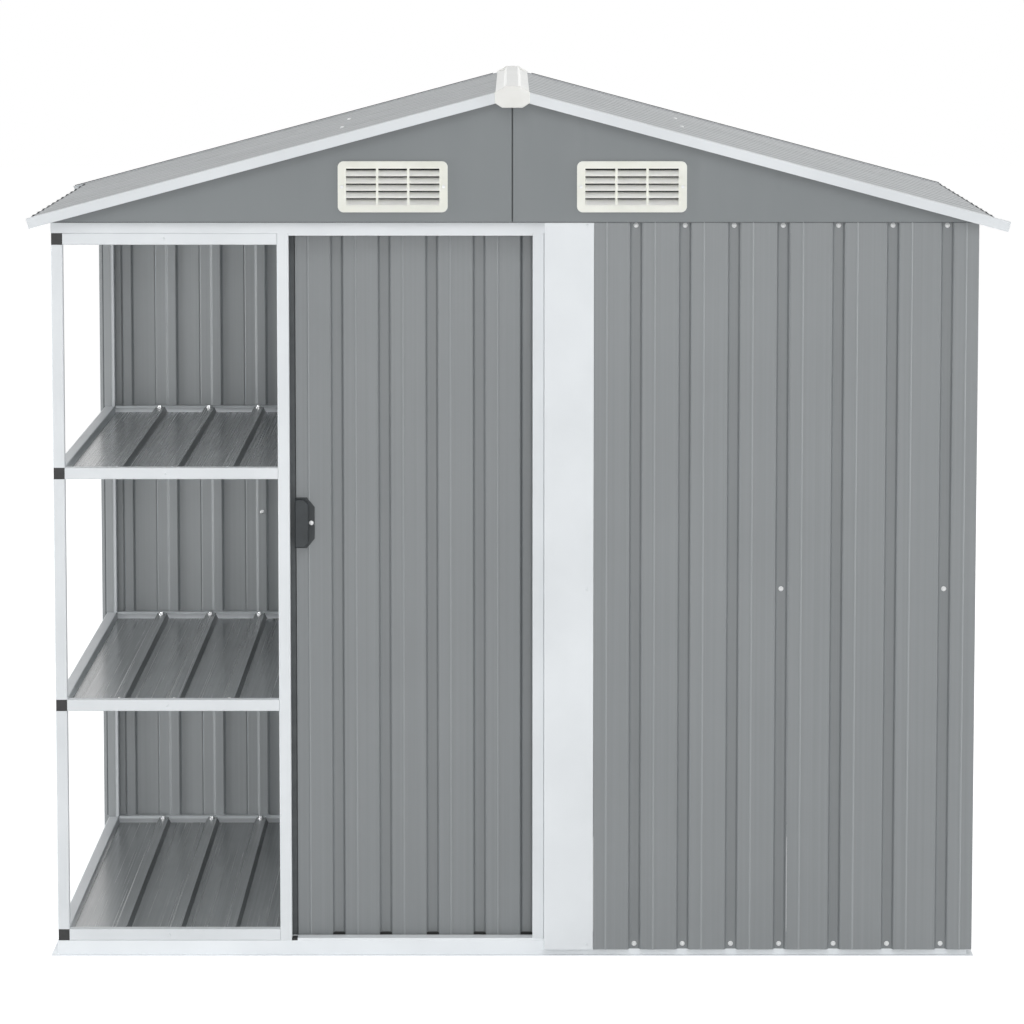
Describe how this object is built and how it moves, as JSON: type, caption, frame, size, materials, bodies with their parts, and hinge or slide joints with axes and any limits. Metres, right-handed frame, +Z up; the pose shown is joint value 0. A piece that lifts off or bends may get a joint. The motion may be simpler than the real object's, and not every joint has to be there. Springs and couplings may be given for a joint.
{
  "type": "metal storage shed",
  "caption": "Grey sheet-steel garden shed with a gable roof, a sliding door and an open storage rack under the same roof.",
  "frame": {"origin": "middle of the roof's footprint, on the ground", "axes": "+X to the right as seen from the front, +Y from front to back, +Z up"},
  "size_m": [2.05, 1.3, 1.8194],
  "materials": {
    "grey_sheet": "satin",
    "roof_sheet": "satin",
    "white_steel": "satin",
    "shelf_sheet": "glossy",
    "dark_plastic": "matte",
    "white_plastic": "satin"
  },
  "bodies": {
    "shed": {"front_base_rail": "white_steel", "back_base_rail": "white_steel", "left_base_rail": "white_steel", "right_base_rail": "white_steel", "inner_base_rail": "white_steel", "door_sill": "white_steel", "front_top_rail": "white_steel", "back_top_rail": "white_steel", "side_top_rails": "white_steel", "door_top_track": "white_steel", "door_post": "white_steel", "jamb_post": "white_steel", "corner_posts": "white_steel", "wall_mid_rails": "white_steel", "rack_posts": "white_steel", "rack_connectors": "dark_plastic", "rack_corner_angle": "grey_sheet", "bottom_shelf_frame": "white_steel", "middle_shelf_frame": "white_steel", "top_shelf_frame": "white_steel", "rack_top_frame": "white_steel", "bottom_shelf": "shelf_sheet", "middle_shelf": "shelf_sheet", "top_shelf": "shelf_sheet", "jamb_panel": "white_steel", "front_wall": "grey_sheet", "right_wall": "grey_sheet", "back_wall": "grey_sheet", "inner_wall": "grey_sheet", "front_gable": "grey_sheet", "back_gable": "grey_sheet", "front_vents": "white_plastic", "back_vents": "white_plastic", "ridge_beam": "white_steel", "purlins": "white_steel", "left_roof": "roof_sheet", "right_roof": "roof_sheet", "verge_trims": "white_steel", "ridge_cap": "white_steel", "ridge_end_caps": "white_plastic"},
    "door": {"door_panel": "grey_sheet", "door_edges": "grey_sheet", "door_gliders": "dark_plastic", "door_handle": "dark_plastic"}
  },
  "joints": [
    {"name": "door_slide", "type": "slide", "parent": "shed", "child": "door", "axis": [1, 0, 0], "range_m": [0, 0.45]}
  ]
}
